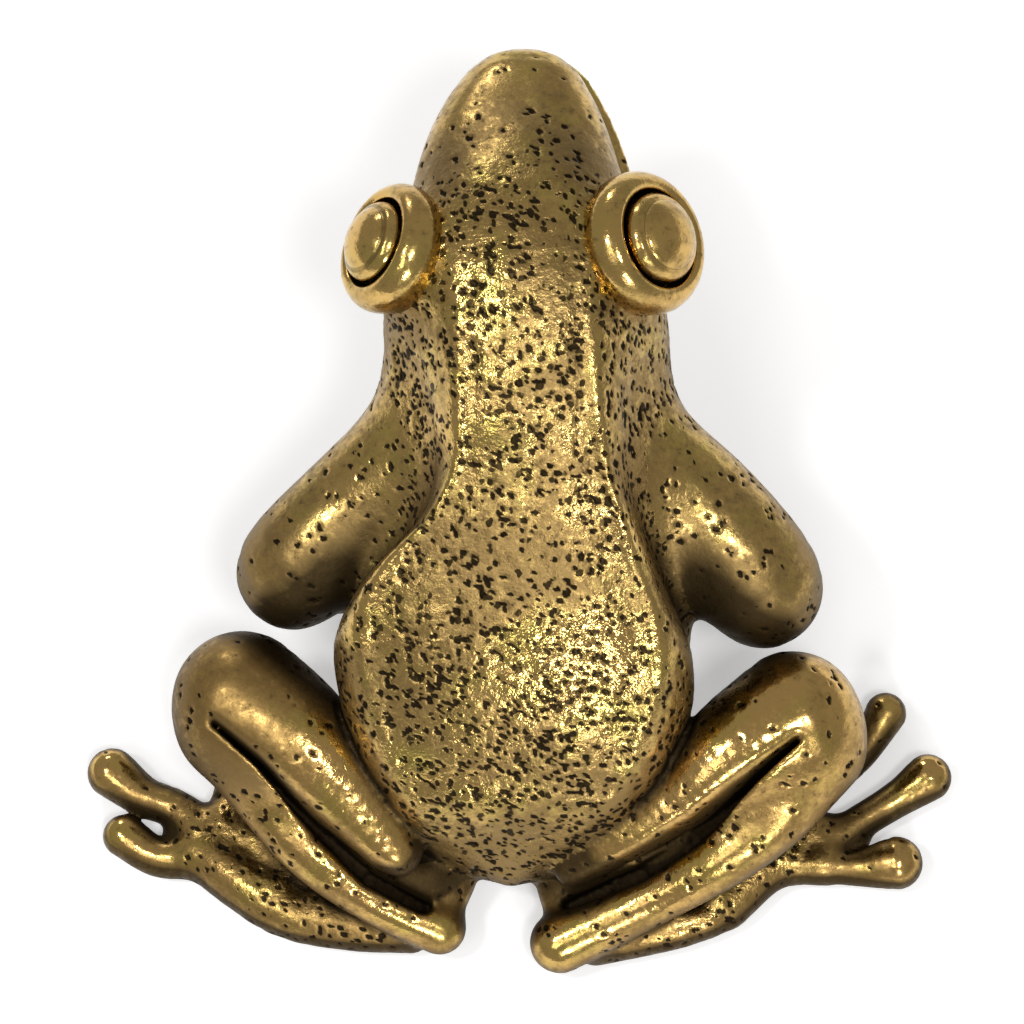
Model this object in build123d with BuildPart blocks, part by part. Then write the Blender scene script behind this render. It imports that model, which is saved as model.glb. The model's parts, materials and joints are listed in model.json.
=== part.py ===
"""Miniature cast brass frog, crouching with its head raised, modelled in millimetres.

The frog faces -Y, its left side is +X and it rests on the plane Z = 0. The origin is at
the middle of its footprint. Left and right limbs differ a little, as on the hand-made
original, so each side has its own dimensions.
"""

import os
from math import asin, degrees

from build123d import *

os.makedirs("parts", exist_ok=True)

sides = {"left": 1, "right": -1}

# Trunk and head, one station per row from snout to rump: distance along Y, height of the
# top, height of the underside, half width at the ridge of the back, half width at the flank
trunk_stations = [
    (-15.65, 14.4, 13.3, 0.4, 0.7),
    (-15.25, 14.9, 12.8, 0.9, 1.4),
    (-13.85, 15.7, 11.8, 1.5, 2.4),
    (-11.25, 16.5, 10.0, 2.5, 3.6),
    (-7.45, 17.2, 7.2, 3.4, 4.9),
    (-4.45, 16.6, 4.9, 3.0, 4.8),
    (-1.05, 15.3, 2.8, 3.1, 5.0),
    (2.35, 13.7, 1.2, 4.9, 6.0),
    (5.35, 12.0, 0.0, 6.2, 6.7),
    (8.75, 9.9, -0.5, 5.5, 6.2),
    (11.35, 7.0, -0.4, 3.6, 4.5),
    (12.75, 4.6, 1.0, 1.6, 2.2),
    (13.15, 3.5, 1.9, 0.6, 0.9),
]
ridge_drop = 0.08  # how far the ridge lies below the top, as a share of the section's height
flank_rise = 0.5  # height of the widest point of the flank, the same way
belly_rise = 0.1  # height of the lower corner of the belly
belly_width = 0.66  # half width of that corner, as a share of the flank's

# Eyes: a round cup set in the corner of the head, with a domed bead in it
eye_centre = (4.9, -7.15, 16.3)
eye_direction = (0.66, -0.03, 0.75)
ring_radius = 2.45
ring_height = 0.5  # the crest of the rim stands this far beyond the eye's centre
ring_shoulder = -0.2  # height at which the rim rounds over into the cup's outer wall
ring_depth = 2.3  # the cup reaches this far behind the eye's centre
ring_taper = 0.85  # radius of the cup's back, as a share of the ring's
rim_swell = 0.12  # how far the rim bulges beyond a straight bevel
rim_lip = 0.1  # how far the rim's inner edge lies below its crest
bead_radius = 1.5
groove_width = 0.24
groove_depth = 1.1  # below the rim's crest
bead_edge_height = 0.4
bead_step_radius = 1.15
bead_step_height = 0.8
bead_top = 1.4  # the bead's dome above the eye's centre
dome_shoulder = (0.6, 0.12)  # where the dome rounds over: share of the step's radius, drop from the top

# Forelegs: the shoulder is inside the trunk
shoulder = (3.0, -3.05, 10.6)
shoulder_radius = 3.2
elbow = {"left": (8.2, 2.25, 7.3), "right": (8.8, 2.35, 7.2)}
elbow_radius = {"left": 2.05, "right": 2.2}
forearm_share = 0.85  # radius at which the forearm leaves the elbow, as a share of the elbow's
wrist = {"left": (6.9, 0.65, 1.6), "right": (7.0, 0.75, 1.6)}
wrist_radius = 1.2
hand_root_radius = 1.1
palm = (6.6, -0.55, 0.7)
palm_radius = 1.0
fingertips = [(5.2, -2.65, 0.45), (6.9, -3.05, 0.45), (8.4, -2.25, 0.45)]
finger_root_radius = 0.5
fingertip_radius = 0.6

# Hind legs, folded: the thigh runs from hip to knee, the shin back from knee to heel
hip = (3.9, 12.0, 4.3)
hip_radius = 1.3
knee = {"left": (10.4, 7.0, 5.5), "right": (10.3, 7.1, 5.5)}
knee_radius = 2.5
shin_top = {"left": (11.5, 8.6, 4.2), "right": (11.4, 8.8, 4.2)}
shin_top_radius = 1.3
heel = {"left": (3.1, 14.2, 1.5), "right": (2.05, 14.65, 1.5)}
heel_radius = 1.0

# Hind feet, flat on the ground, from beneath the heel out to the toes
foot_heel = {"left": (4.0, 14.25, 0.8), "right": (3.0, 14.55, 0.8)}
foot_heel_radius = 0.9
instep = {"left": (8.5, 13.7, 1.0), "right": (7.0, 13.3, 0.9)}
instep_radius = {"left": 1.15, "right": 0.95}
instep_waist = 0.95  # radius at which the forefoot leaves the instep, as a share of the instep's
ball = {"left": (12.1, 11.4, 0.9), "right": (11.4, 10.9, 0.9)}
ball_radius = 1.0
toe_root_radius = 0.6
toe_tip_radius = 0.85
toe_tips = {
    "left": [(12.4, 6.6, 0.8), (15.5, 8.1, 0.8), (15.1, 10.9, 0.8)],
    "right": [(13.8, 5.4, 0.8), (15.5, 7.8, 0.8), (14.3, 11.2, 0.8)],
}


def mirrored(point, side):
    """Put a point given for the left side on the named side."""
    across, along, up = point
    return (sides[side] * across, along, up)


def trunk_section(along, top, underside, ridge, flank):
    """One section across the trunk, its outline running from the middle of the back."""
    height = top - underside
    half = [
        (ridge, top - ridge_drop * height),
        (flank, underside + flank_rise * height),
        (belly_width * flank, underside + belly_rise * height),
    ]
    other_half = [(-across, up) for across, up in reversed(half)]
    with BuildSketch(Plane.XZ.offset(-along)) as section:
        with BuildLine():
            Spline((0, top), *half, (0, underside), *other_half, periodic=True)
        make_face()
    return section.sketch


def taper(start, start_radius, end, end_radius):
    """Add a round-ended taper between two points to the part being built."""
    run = Vector(*end) - Vector(*start)
    lean = degrees(asin((start_radius - end_radius) / run.length))
    with BuildSketch(Plane(origin=start, x_dir=run, z_dir=run.cross(Vector(0, 0, 1)))) as half_section:
        with BuildLine():
            start_cap = CenterArc((0, 0), start_radius, 90 - lean, 90 + lean)
            end_cap = CenterArc((run.length, 0), end_radius, 0, 90 - lean)
            Line(start_cap @ 0, end_cap @ 1)
            Line(start_cap @ 1, end_cap @ 0)
        make_face()
    revolve(half_section.sketch, axis=Axis(start, run))


def eye_plane(side):
    """Plane across one eye: its Z axis is the way that the eye looks."""
    return Plane(origin=mirrored(eye_centre, side), x_dir=(0, 1, 0), z_dir=mirrored(eye_direction, side))


def eye_section(side):
    """Plane of a profile that is turned about the line of sight of one eye."""
    looking = eye_plane(side)
    return Plane(origin=looking.origin, x_dir=looking.x_dir, z_dir=-looking.y_dir)


def eye_axis(side):
    """Line of sight of one eye."""
    looking = eye_plane(side)
    return Axis(looking.origin, looking.z_dir)


def cut_eye_seat(side):
    """Cut the pocket for one eye ring out of the part being built."""
    with BuildSketch(eye_section(side)) as seat:
        with BuildLine():
            Polyline(
                (0, -ring_depth),
                (ring_radius * ring_taper, -ring_depth),
                (ring_radius, ring_shoulder),
                (ring_radius, ring_height),
                (0, ring_height),
                close=True,
            )
        make_face()
    revolve(seat.sketch, axis=eye_axis(side), mode=Mode.SUBTRACT)


def finish(piece, label):
    """Name a finished piece and write it."""
    piece.part.label = label
    export_step(piece.part, f"parts/{label}.step")


# Eye rings: turned cups with a rounded rim
eye_rings = {}
for side in sides:
    recess_radius = bead_radius + groove_width
    rim_middle = ((recess_radius + ring_radius) / 2 + rim_swell, (ring_height + ring_shoulder) / 2 + 2 * rim_swell)
    with BuildPart() as ring:
        with BuildSketch(eye_section(side)):
            with BuildLine():
                outer_wall = Line((ring_radius * ring_taper, -ring_depth), (ring_radius, ring_shoulder))
                rim = ThreePointArc(outer_wall @ 1, rim_middle, (recess_radius, ring_height - rim_lip))
                Polyline(
                    rim @ 1,
                    (recess_radius, ring_height - groove_depth),
                    (0, ring_height - groove_depth),
                    (0, -ring_depth),
                    outer_wall @ 0,
                )
            make_face()
        revolve(axis=eye_axis(side))
    finish(ring, f"{side}_eye_ring")
    eye_rings[side] = ring

# Eye beads: a disc with a raised, domed pupil, standing on the floor of the cup
for side in sides:
    with BuildPart() as bead:
        with BuildSketch(eye_section(side)):
            with BuildLine():
                disc = Polyline(
                    (0, ring_height - groove_depth),
                    (bead_radius, ring_height - groove_depth),
                    (bead_radius, bead_edge_height),
                    (bead_step_radius, bead_step_height),
                )
                shoulder_point = (dome_shoulder[0] * bead_step_radius, bead_top - dome_shoulder[1])
                Spline(disc @ 1, shoulder_point, (0, bead_top), tangents=((0, 1), (-1, 0)))
                Line((0, bead_top), disc @ 0)
            make_face()
        revolve(axis=eye_axis(side))
    finish(bead, f"{side}_eye_bead")

# Body: trunk and head in one lofted piece, resting on a flattened belly
with BuildPart() as body:
    loft([trunk_section(*station) for station in trunk_stations])
    for side in sides:
        cut_eye_seat(side)
    split(bisect_by=Plane.XY, keep=Keep.TOP)
finish(body, "body")

# Forelegs: upper arm out to the elbow, forearm down to a small splayed hand
for side in sides:
    with BuildPart() as foreleg:
        taper(mirrored(shoulder, side), shoulder_radius, mirrored(elbow[side], side), elbow_radius[side])
        forearm_radius = forearm_share * elbow_radius[side]
        taper(mirrored(elbow[side], side), forearm_radius, mirrored(wrist[side], side), wrist_radius)
        taper(mirrored(wrist[side], side), hand_root_radius, mirrored(palm, side), palm_radius)
        for fingertip in fingertips:
            taper(mirrored(palm, side), finger_root_radius, mirrored(fingertip, side), fingertip_radius)
        add(body.part, mode=Mode.SUBTRACT)
        split(bisect_by=Plane.XY, keep=Keep.TOP)
    finish(foreleg, f"{side}_foreleg")

# Hind legs: thigh and shin side by side, joined round the knee
hind_legs = {}
for side in sides:
    with BuildPart() as hind_leg:
        taper(mirrored(hip, side), hip_radius, mirrored(knee[side], side), knee_radius)
        taper(mirrored(shin_top[side], side), shin_top_radius, mirrored(heel[side], side), heel_radius)
        add(body.part, mode=Mode.SUBTRACT)
        split(bisect_by=Plane.XY, keep=Keep.TOP)
    finish(hind_leg, f"{side}_hind_leg")
    hind_legs[side] = hind_leg

# Hind feet: heel, instep and ball with three round-ended toes
for side in sides:
    with BuildPart() as foot:
        taper(mirrored(foot_heel[side], side), foot_heel_radius, mirrored(instep[side], side), instep_radius[side])
        waist_radius = instep_waist * instep_radius[side]
        taper(mirrored(instep[side], side), waist_radius, mirrored(ball[side], side), ball_radius)
        for toe_tip in toe_tips[side]:
            taper(mirrored(ball[side], side), toe_root_radius, mirrored(toe_tip, side), toe_tip_radius)
        add(hind_legs[side].part, mode=Mode.SUBTRACT)
        add(body.part, mode=Mode.SUBTRACT)
        split(bisect_by=Plane.XY, keep=Keep.TOP)
    finish(foot, f"{side}_hind_foot")
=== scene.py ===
import json
import math

import bpy
import numpy as np
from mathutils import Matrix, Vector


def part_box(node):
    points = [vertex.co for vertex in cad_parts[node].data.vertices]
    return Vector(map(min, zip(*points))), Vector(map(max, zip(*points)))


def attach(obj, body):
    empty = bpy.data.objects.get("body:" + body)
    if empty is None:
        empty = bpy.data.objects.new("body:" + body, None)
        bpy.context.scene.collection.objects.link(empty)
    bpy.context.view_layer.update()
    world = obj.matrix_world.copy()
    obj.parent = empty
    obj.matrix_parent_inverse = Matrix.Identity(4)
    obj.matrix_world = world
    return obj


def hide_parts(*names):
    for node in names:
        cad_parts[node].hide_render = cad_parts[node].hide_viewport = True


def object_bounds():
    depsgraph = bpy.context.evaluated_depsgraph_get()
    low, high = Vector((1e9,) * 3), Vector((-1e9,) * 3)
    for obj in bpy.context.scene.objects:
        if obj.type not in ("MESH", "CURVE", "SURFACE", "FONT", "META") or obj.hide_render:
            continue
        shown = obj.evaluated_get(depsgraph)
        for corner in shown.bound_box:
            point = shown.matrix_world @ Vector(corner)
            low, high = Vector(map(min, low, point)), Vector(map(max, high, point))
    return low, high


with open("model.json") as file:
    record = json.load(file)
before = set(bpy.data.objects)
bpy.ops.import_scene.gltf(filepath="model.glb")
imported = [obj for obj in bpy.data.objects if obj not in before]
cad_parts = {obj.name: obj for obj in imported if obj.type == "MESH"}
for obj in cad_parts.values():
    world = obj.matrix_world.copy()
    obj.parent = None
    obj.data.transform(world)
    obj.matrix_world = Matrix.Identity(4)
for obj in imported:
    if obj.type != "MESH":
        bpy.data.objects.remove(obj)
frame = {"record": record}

import openvdb
from mathutils import Matrix, Vector

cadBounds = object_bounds()
mm = 0.001
sides = ("left", "right")

# The frog is worked like wax. Every form is a distance field in millimetres, negative
# inside. The fields are blended where the metal flows together, the skin of the result
# is pitted, and then it is divided into the pieces of the frame.


def corners(node):
    # lowest and highest corner of a frame node, in millimetres
    low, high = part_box(node)
    return np.array(low) / mm, np.array(high) / mm


cameraSpec = {
    "elevation": 70.0,  # degrees above the floor, from behind the frog
    "turn": 4.0,  # degrees towards the frog's right side
    "roll": 2.5,  # degrees
    "distance": 170.0,  # mm
    "aim": (0.22, 0.43, 9.0),  # mm
    "lens": 161.4,
    "sensor": 36.0,
}


def makeCamera():
    spec = cameraSpec
    up, side, roll = (math.radians(spec[key]) for key in ("elevation", "turn", "roll"))
    level = math.cos(side)
    look = Vector((-math.sin(side), math.cos(up) * level, math.sin(up) * level)).normalized()
    data = bpy.data.cameras.new("camera")
    data.lens = spec["lens"]
    data.sensor_width = spec["sensor"]
    data.clip_start = 0.01
    camera = bpy.data.objects.new("camera", data)
    bpy.context.scene.collection.objects.link(camera)
    camera.location = (Vector(spec["aim"]) + look * spec["distance"]) * mm
    right = Vector((0, -1, 0)).cross(look).normalized()
    above = look.cross(right)
    tilted = right * math.cos(roll) + above * math.sin(roll)
    upright = above * math.cos(roll) - right * math.sin(roll)
    camera.rotation_euler = Matrix((tilted, upright, look)).transposed().to_euler()
    bpy.context.scene.camera = camera


makeCamera()
print("camera placed")

fieldSpec = {
    "step": 0.12,  # mm between samples
    "margin": 0.9,  # mm round the frame
    "farAway": 3.0,  # mm, where a form is out of reach
    "band": 2.4,  # mm, reach of a lofted field
    "reach": 1.8,  # mm, reach of a limb's field
    "chainPieces": 6,  # short tapers between two joints of a limb
}
step = fieldSpec["step"]
fieldLow = np.array(cadBounds[0]) / mm - fieldSpec["margin"]
fieldCount = np.ceil((np.array(cadBounds[1]) / mm + fieldSpec["margin"] - fieldLow) / step).astype(int)
fieldAxes = [fieldLow[a] + step * np.arange(fieldCount[a], dtype=np.float32) for a in range(3)]


def gridOf(slices):
    # coordinates in a window
    return np.meshgrid(*[axis[part] for axis, part in zip(fieldAxes, slices)], indexing="ij", sparse=True)


def window(low, high):
    # slices of the grid round a box, and the coordinates there
    first, last = ((np.array(corner) - fieldLow) / step for corner in (low, high))
    first, last = np.clip([np.floor(first), np.ceil(last)], 0, fieldCount).astype(int)
    slices = tuple(slice(*ends) for ends in zip(first, last))
    return slices, gridOf(slices)


def ramped(value, begins, full, least=0):
    # from the least share where it begins to 1 where it is in full
    return np.clip((value - begins) / (full - begins), least, 1)


def smoothMin(a, b, blend):
    overlap = np.maximum(blend - np.abs(a - b), 0) / blend
    return np.minimum(a, b) - overlap * overlap * blend * 0.25


def alongLine(grid, start, end):
    # share of the way along a line, and distance from it
    run = [e - s for s, e in zip(start, end)]
    away = [g - s for g, s in zip(grid, start)]
    share = np.clip(sum(a * r for a, r in zip(away, run)) / sum(r * r for r in run), 0, 1)
    return share, np.sqrt(sum((a - r * share) ** 2 for a, r in zip(away, run)))


def smoothCurve(xs, ys, at):
    # smooth curve through the stations
    xs, ys = np.array(xs, float), np.array(ys, float)
    slope = np.gradient(ys, xs)
    i = np.clip(np.searchsorted(xs, at) - 1, 0, len(xs) - 2)
    span = xs[i + 1] - xs[i]
    t = np.clip((at - xs[i]) / span, 0, 1)
    ends = ys[i] * (1 + 2 * t) * (1 - t) ** 2 + ys[i + 1] * t * t * (3 - 2 * t)
    return ends + span * (slope[i] * t * (1 - t) ** 2 - slope[i + 1] * t * t * (1 - t))


def between(start, end, index, share):
    # height (index 2) or radius (index 3) part of the way from one joint to the next
    return start[index] + (end[index] - start[index]) * share


def finerChain(joints):
    # joints (x, y, z, radius) with more put between them along a smooth curve
    joints = np.array(joints, dtype=float)
    if len(joints) < 3:
        return joints.astype(np.float32)
    pieces = fieldSpec["chainPieces"]
    along = np.concatenate([[0], np.cumsum(np.linalg.norm(np.diff(joints[:, :3], axis=0), axis=1))])
    at = np.interp(np.arange(0, len(joints) - 1 + 0.5 / pieces, 1 / pieces), np.arange(len(joints)), along)
    return np.stack([smoothCurve(along, column, at) for column in joints.T], -1).astype(np.float32)


def limbField(joints):
    # field of a chain of joints, with the slices of its own window
    joints, reach = finerChain(joints), fieldSpec["reach"]
    low, high = (joints[:, :3] - joints[:, 3:]).min(0), (joints[:, :3] + joints[:, 3:]).max(0)
    slices, grid = window(low - reach, high + reach)
    field = None
    for start, end in zip(joints[:-1], joints[1:]):
        share, distance = alongLine(grid, start[:3], end[:3])
        part = distance - between(start, end, 3, share)
        field = part if field is None else np.minimum(field, part)
    return slices, field


def spanOf(fields):
    # one window round those of several fields
    starts = [min(slices[a].start for slices, _ in fields) for a in range(3)]
    stops = [max(slices[a].stop for slices, _ in fields) for a in range(3)]
    return tuple(slice(start, stop) for start, stop in zip(starts, stops))


def within(slices, whole):
    # the slices of a window, counted from the start of a larger one
    return tuple(slice(s.start - w.start, s.stop - w.start) for s, w in zip(slices, whole))


def emptyField(whole):
    return np.full([s.stop - s.start for s in whole], fieldSpec["farAway"], dtype=np.float32)


def united(fields, blend):
    # one windowed field from several
    whole = spanOf(fields)
    result = emptyField(whole)
    for slices, field in fields:
        inner = within(slices, whole)
        result[inner] = smoothMin(result[inner], field, blend)
    return whole, result


def tubeFaces(rows, around):
    # quads of a tube, and triangles that close it onto two points added after it
    ring = np.arange(around)
    after = (ring + 1) % around
    row = np.arange(rows - 1)[:, None] * around
    quads = np.stack([row + ring, row + after, row + around + after, row + around + ring], -1).reshape(-1, 4)
    total = rows * around
    lastRow = total - around
    first = np.stack([np.full(around, total), after, ring], -1)
    last = np.stack([np.full(around, total + 1), lastRow + ring, lastRow + after], -1)
    return quads, np.vstack([first, last])


# Trunk and head, one row per station: mm behind the snout tip, middle across, half width,
# height of the widest point, height of the top, height of the underside
coreStations = [
    (-0.24, 0.05, 0.1, 13.9, 14, 13.8),
    (-0.18, 0.05, 0.5, 13.8, 14.4, 13.3),
    (0.04, 0.07, 1.15, 13.7, 14.9, 12.8),
    (0.6, 0.1, 1.92, 13.6, 15.4, 12.3),
    (1.5, 0.14, 2.55, 13.4, 15.8, 11.8),
    (2.9, 0.16, 3.22, 13.1, 16.2, 10.9),
    (4.4, 0.13, 3.7, 12.8, 16.5, 9.9),
    (6.4, 0, 4.25, 12.5, 16.8, 8.6),
    (8.6, -0.15, 5.05, 12.3, 16.8, 7),
    (11.2, -0.3, 5.22, 11.6, 16, 5),
    (13.5, -0.4, 4.85, 10.4, 14.7, 3.6),
    (16, -0.4, 5.1, 8.8, 13, 2.2),
    (19, -0.2, 6, 7, 10.9, 0.8),
    (21.5, -0.1, 6.35, 5.6, 9, -0.2),
    (24.5, 0, 5.5, 4.4, 7.2, -0.5),
    (27, 0.1, 3.6, 3.4, 5, 0.1),
    (27.95, 0.1, 1.8, 2.6, 3.5, 1.2),
    (28.3, 0.1, 0.2, 2.5, 2.8, 2.2),
]
shieldStations = [
    (5, 0, 0.3, 15.6, 15.9, 15.3),
    (6.6, -0.1, 1.6, 15.9, 16.7, 14.5),
    (8.8, -0.25, 2.4, 15.8, 17, 13.5),
    (11.7, -0.5, 2.75, 15.1, 16.5, 12.4),
    (14.5, -0.7, 2.95, 14.1, 15.4, 11.2),
    (16.6, -0.8, 3.35, 12.9, 14.4, 9.8),
    (17.9, -0.65, 4.1, 11.9, 13.9, 8.6),
    (19.5, -0.1, 5.5, 10.2, 13, 7.2),
    (21.3, 0, 6.55, 8.6, 12, 5.6),
    (22.7, -0.1, 6.55, 7.6, 11.1, 4.4),
    (24.2, -0.05, 6.05, 6.7, 9.9, 3.2),
    (26, 0, 4.95, 5.7, 8.2, 2.2),
    (27.3, 0.1, 3.4, 4.7, 6.5, 1.8),
    (27.85, 0.15, 1.8, 3.7, 4.7, 2.2),
    (28.3, 0.15, 0.3, 3, 3.3, 2.7),
]
loftSpec = {  # mm, with places along the frog in mm behind the snout
    "around": 128,  # points round a section
    "along": 220,  # sections
    "squareBack": (0.0, 5.0, 9.0, 30.0),
    "coreSquare": (2.8, 3.4, 2.4, 2.4),  # squareness there, above the widest point
    "shieldSquare": (2.4, 2.4, 2.4, 2.5),
    "squareBelow": 2.1,
    "thinnest": 0.02,
    "mouth": (13.5, -0.16),  # height at the snout's tip, rise per mm behind it
    "mouthEnd": 7.5,
    "mouthFade": 1.5,
    "mouthDepth": 0.3,
    "mouthWidth": 0.14,
    "jawOut": 0.4,
    "jawFade": (0.3, 2.0),  # below the mouth, and from the middle towards the right
    "ridgeBack": (4.0, 8.0, 13.0, 20.0, 26.0, 29.0),
    "ridgeHeight": (0.0, 0.08, 0.28, 0.42, 0.34, 0.0),
    "ridgePlace": 0.86,  # share of the half width
    "ridgeWidth": 0.1,
    "neckBlend": 3.0,  # how softly the shield melts into the neck
    "rumpBlend": 1.3,  # and into the rump
    "blendBack": (15.0, 20.0),  # from the one to the other
}
snoutY = corners("body")[0][1]


def loftField(stations, square, ridged):
    # field of a lofted form with superellipse sections
    spec = loftSpec
    around, along = spec["around"], spec["along"]
    columns = np.array(stations, float).T
    back = columns[0]
    at = back[0] + (back[-1] - back[0]) * (0.5 - 0.5 * np.cos(np.linspace(0, math.pi, along)))
    centre, half, edge, top, bottom = (smoothCurve(back, column, at) for column in columns[1:])
    half, rise, drop = (np.maximum(size, spec["thinnest"]) for size in (half, top - edge, edge - bottom))
    angle = np.linspace(0, 2 * math.pi, around, endpoint=False)
    cosine, sine = np.cos(angle), np.sin(angle)
    above = smoothCurve(spec["squareBack"], spec[square], at)[:, None]
    power = np.where(sine >= 0, above, spec["squareBelow"])
    across = np.sign(cosine) * np.abs(cosine) ** (2 / power)
    upward = np.sign(sine) * np.abs(sine) ** (2 / power)
    x = centre[:, None] + half[:, None] * across
    z = edge[:, None] + np.where(upward >= 0, rise[:, None], drop[:, None]) * upward
    if ridged:
        strength = smoothCurve(spec["ridgeBack"], spec["ridgeHeight"], at)[:, None]
        crest = np.exp(-(((np.abs(across) - spec["ridgePlace"]) / spec["ridgeWidth"]) ** 2))
        z = z + np.where(upward > 0, strength * crest, 0)
    y = np.repeat((snoutY + at)[:, None], around, 1)
    points = np.stack([x, y, z], -1).reshape(-1, 3)
    points = np.vstack([points, points[:around].mean(0), points[-around:].mean(0)])
    quads, triangles = tubeFaces(along, around)
    grid = openvdb.FloatGrid.createLevelSetFromPolygons(
        ((points - fieldLow) / step).astype(np.float32),
        triangles=triangles.astype(np.uint32),
        quads=quads.astype(np.uint32),
        transform=openvdb.createLinearTransform(voxelSize=1.0),
        halfWidth=fieldSpec["band"] / step,
    )
    dense = emptyField([slice(0, count) for count in fieldCount])
    grid.copyToArray(dense)
    return dense * step


def makeTrunk():
    spec = loftSpec
    core = loftField(coreStations, "coreSquare", False)
    shield = loftField(shieldStations, "shieldSquare", True)
    share = ramped(fieldAxes[1] - snoutY, *spec["blendBack"])
    blend = spec["neckBlend"] + (spec["rumpBlend"] - spec["neckBlend"]) * share
    whole = smoothMin(core, shield, blend[None, :, None])
    # mouth line round the snout, the lower jaw standing out a little under it on the right
    back = (fieldAxes[1] - snoutY)[None, :, None]
    above = fieldAxes[2][None, None, :] - (spec["mouth"][0] + spec["mouth"][1] * back)
    ahead = np.clip((spec["mouthEnd"] - back) / spec["mouthFade"], 0, 1)
    below, rightwards = spec["jawFade"]
    jaw = np.clip(-above / below, 0, 1) * np.clip(0.5 - fieldAxes[0][:, None, None] / rightwards, 0, 1)
    line = spec["mouthDepth"] * np.exp(-((above / spec["mouthWidth"]) ** 2))
    return whole + ahead * (line - spec["jawOut"] * jaw)


trunk = makeTrunk()
print("trunk lofted")

eyeSpec = {
    "looks": {"left": (0.75, -0.05, 0.64), "right": (-0.74, 0.02, 0.69)},
    "offset": {"left": (0.2, -0.05, 0.0), "right": (-0.32, -0.36, 0.0)},  # mm from the bead's middle
    "back": 0.4,  # mm, then back along the line of sight
    "scale": {"left": 0.99, "right": 1.08},  # size of the turned parts
    "mound": (2.3, 1.9, 1.5, 1.1),  # mm: radius, depth of its top, depth below that, blend
    "moundCore": 0.85,  # share of that radius
}


def eyeFrame(side):
    # middle of an eye and the way that it looks
    low, high = corners(side + "_eye_bead")
    looks = Vector(eyeSpec["looks"][side]).normalized()
    return Vector((low + high) / 2) + Vector(eyeSpec["offset"][side]) - looks * eyeSpec["back"], looks


def addMounds():
    radius, top, deep, blend = eyeSpec["mound"]
    core = radius * eyeSpec["moundCore"]
    for side in sides:
        middle, looks = eyeFrame(side)
        inner, outer = middle - looks * (top + deep), middle - looks * top
        slices, field = limbField([(*inner, core), (*outer, core)])
        trunk[slices] = smoothMin(trunk[slices], field, blend)


addMounds()
print("eye mounds raised")


def sided(side, x, y, z, radius):
    # a joint given for the left side, put on the named side
    return (x if side == "left" else -x, y, z, radius)


def reachOf(node, side):
    # how far out a limb's box reaches, then its front and rear
    low, high = corners(node)
    return high[0] if side == "left" else -low[0], low[1], high[1]


def fromRear(node, side):
    # places a joint given as mm in from the outer edge of a node, forward of its rear, height, radius
    outer, front, rear = reachOf(node, side)

    def place(joint):
        inset, forward, height, radius = joint
        return sided(side, outer - inset, rear - forward, height, radius)

    return place


forelegSpec = {  # mm: in from the outer edge of the arm, forward of its rear, height, radius
    "left": {
        "arm": [(7.2, 6.5, 10.5, 2.15), (4.4, 4.25, 9, 2.16), (1.78, 1.9, 7.3, 2.08)],
        "forearm": [(2.6, 2.7, 4.6, 1.5), (3.5, 3.7, 1.9, 1.15), (3.9, 4.9, 0.75, 0.95)],
    },
    "right": {
        "arm": [(7.6, 6.5, 10.5, 2.25), (4.45, 4.4, 9, 2.4), (1.9, 1.96, 7.2, 2.22)],
        "forearm": [(2.9, 2.9, 4.6, 1.6), (3.9, 3.9, 1.9, 1.15), (4.4, 5, 0.75, 0.95)],
    },
    "fingers": [(1.5, 2.1), (-0.2, 2.5), (-1.7, 1.7)],  # in and forward of the palm
    "fingerRadius": (0.5, 0.6),
    "tipHeight": 0.5,
    "blend": 0.5,
}


def foreleg(side):
    place = fromRear(side + "_foreleg", side)
    spec, shared = forelegSpec[side], forelegSpec
    palm = spec["forearm"][-1]
    fields = [limbField([place(joint) for joint in spec["arm"] + spec["forearm"]])]
    near, far = shared["fingerRadius"]
    for inset, forward in shared["fingers"]:
        tip = (palm[0] + inset, palm[1] + forward, shared["tipHeight"], far)
        fields.append(limbField([place((*palm[:3], near)), place(tip)]))
    return united(fields, shared["blend"])


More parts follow.
